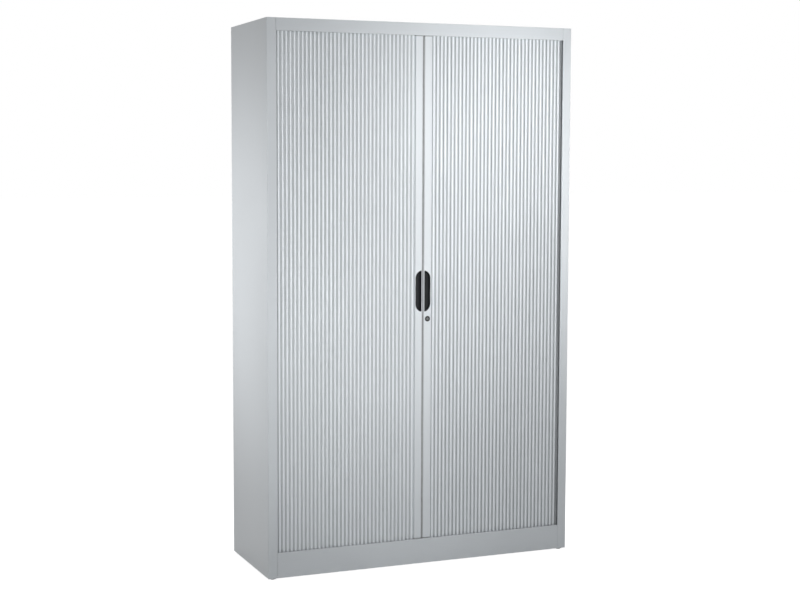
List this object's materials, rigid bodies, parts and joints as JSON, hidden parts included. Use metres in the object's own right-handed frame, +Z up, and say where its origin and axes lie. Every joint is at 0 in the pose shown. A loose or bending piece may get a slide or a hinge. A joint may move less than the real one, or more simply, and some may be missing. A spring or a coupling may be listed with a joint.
{
  "type": "tambour door cabinet",
  "caption": "Tall steel cupboard with upright tambour shutters that run round into side pockets, recessed grips, a hook lock, adjustable shelves and levelling feet.",
  "frame": {"origin": "on the floor, at the middle of the cabinet's footprint", "axes": "+X to the right seen from the front, -Y towards the front, +Z up"},
  "size_m": [1.2, 0.42, 1.98],
  "materials": {
    "silver_steel": "fine satin silver powder coat",
    "inner_steel": "fine satin silver powder coat",
    "slat_plastic": "satin silver grey",
    "profile_aluminium": "satin, silver lacquer",
    "track_plastic": "smooth grey",
    "soft_grey": "soft matt grey",
    "black_plastic": "satin black",
    "zinc_steel": "bright zinc",
    "lock_metal": "dull nickel"
  },
  "bodies": {
    "root": {"left_side_panel": "silver_steel", "right_side_panel": "silver_steel", "top_panel": "silver_steel", "base_panel": "inner_steel", "ceiling_panel": "inner_steel", "plinth": "silver_steel", "back_panel": "silver_steel", "back_panel_rivets": "zinc_steel", "left_inner_wall": "inner_steel", "right_inner_wall": "inner_steel", "inner_back_panel": "inner_steel", "shelf_1": "inner_steel", "shelf_2": "inner_steel", "shelf_3": "inner_steel", "shelf_4": "inner_steel", "shelf_hooks": "zinc_steel", "left_bottom_track": "track_plastic", "right_bottom_track": "track_plastic", "left_top_track": "track_plastic", "right_top_track": "track_plastic", "track_screws": "zinc_steel", "track_end_stops": "soft_grey", "foot_brackets": "zinc_steel", "foot_nuts": "zinc_steel", "left_curtain_slats": "slat_plastic", "right_curtain_slats": "slat_plastic"},
    "left_leaf": {"left_lead_profile": "profile_aluminium", "left_end_glides": "track_plastic", "left_closing_strip": "soft_grey", "left_grip_cup": "black_plastic", "left_grip_screws": "zinc_steel", "strike_plate": "zinc_steel", "strike_screws": "zinc_steel"},
    "right_leaf": {"right_lead_profile": "profile_aluminium", "right_end_glides": "track_plastic", "right_closing_strip": "soft_grey", "right_grip_cup": "black_plastic", "right_grip_screws": "zinc_steel", "lock_rosette": "black_plastic", "lock_housing": "lock_metal", "lock_nut": "zinc_steel"},
    "lock": {"lock_core": "lock_metal", "lock_hook": "zinc_steel", "lock_hook_screw": "zinc_steel"},
    "front_left_foot": {"front_left_foot_pad": "black_plastic", "front_left_foot_stud": "zinc_steel"},
    "front_right_foot": {"front_right_foot_pad": "black_plastic", "front_right_foot_stud": "zinc_steel"},
    "rear_left_foot": {"rear_left_foot_pad": "black_plastic", "rear_left_foot_stud": "zinc_steel"},
    "rear_right_foot": {"rear_right_foot_pad": "black_plastic", "rear_right_foot_stud": "zinc_steel"}
  },
  "joints": [
    {"name": "left_shutter_slide", "type": "slide", "parent": "root", "child": "left_leaf", "axis": [-1, 0, 0], "range_m": [0, 0.515], "deforming": ["left_curtain_slats"]},
    {"name": "right_shutter_slide", "type": "slide", "parent": "root", "child": "right_leaf", "axis": [1, 0, 0], "range_m": [0, 0.515], "deforming": ["right_curtain_slats"]},
    {"name": "lock_turn", "type": "hinge", "parent": "right_leaf", "child": "lock", "pos_m": [0.0186, -0.19, 0.9105], "axis": [0, -1, 0], "range_deg": [0, 90]},
    {"name": "front_left_foot_screw", "type": "slide", "parent": "root", "child": "front_left_foot", "axis": [0, 0, -1], "range_m": [0, 0.012]},
    {"name": "front_right_foot_screw", "type": "slide", "parent": "root", "child": "front_right_foot", "axis": [0, 0, -1], "range_m": [0, 0.012]},
    {"name": "rear_left_foot_screw", "type": "slide", "parent": "root", "child": "rear_left_foot", "axis": [0, 0, -1], "range_m": [0, 0.012]},
    {"name": "rear_right_foot_screw", "type": "slide", "parent": "root", "child": "rear_right_foot", "axis": [0, 0, -1], "range_m": [0, 0.012]}
  ]
}
